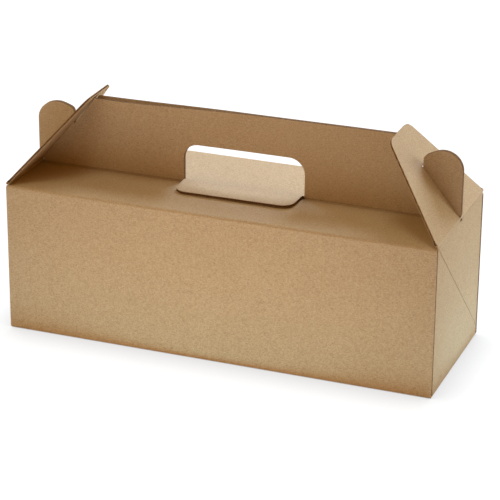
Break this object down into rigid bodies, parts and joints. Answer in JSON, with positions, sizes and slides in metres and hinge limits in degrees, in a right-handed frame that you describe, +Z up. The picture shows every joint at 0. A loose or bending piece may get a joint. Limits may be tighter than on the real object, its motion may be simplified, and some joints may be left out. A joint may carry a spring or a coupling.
{
  "type": "folded carry box",
  "caption": "Kraft board carry box with a fold-up handle, a hand hole and end flaps that lock over the handle's ears.",
  "frame": {"origin": "under the middle of the bottom panel, on the surface that the box stands on", "axes": "+X along the box towards the right end flap, +Y from the front to the back, +Z up"},
  "size_m": [0.3, 0.108, 0.1592],
  "materials": {
    "kraft_board": "matte kraft liner",
    "kraft_flap": "matte kraft liner"
  },
  "bodies": {
    "carton": {"folded_carton": "kraft_board"},
    "left_flap": {"left_end_flap": "kraft_flap"},
    "right_flap": {"right_end_flap": "kraft_flap"}
  },
  "joints": [
    {"name": "left_flap_fold", "type": "hinge", "parent": "carton", "child": "left_flap", "pos_m": [-0.14925, 0, 0.1055], "axis": [0, -1, 0], "range_deg": [0, 130]},
    {"name": "right_flap_fold", "type": "hinge", "parent": "carton", "child": "right_flap", "pos_m": [0.14925, 0, 0.1055], "axis": [0, 1, 0], "range_deg": [0, 130]}
  ]
}
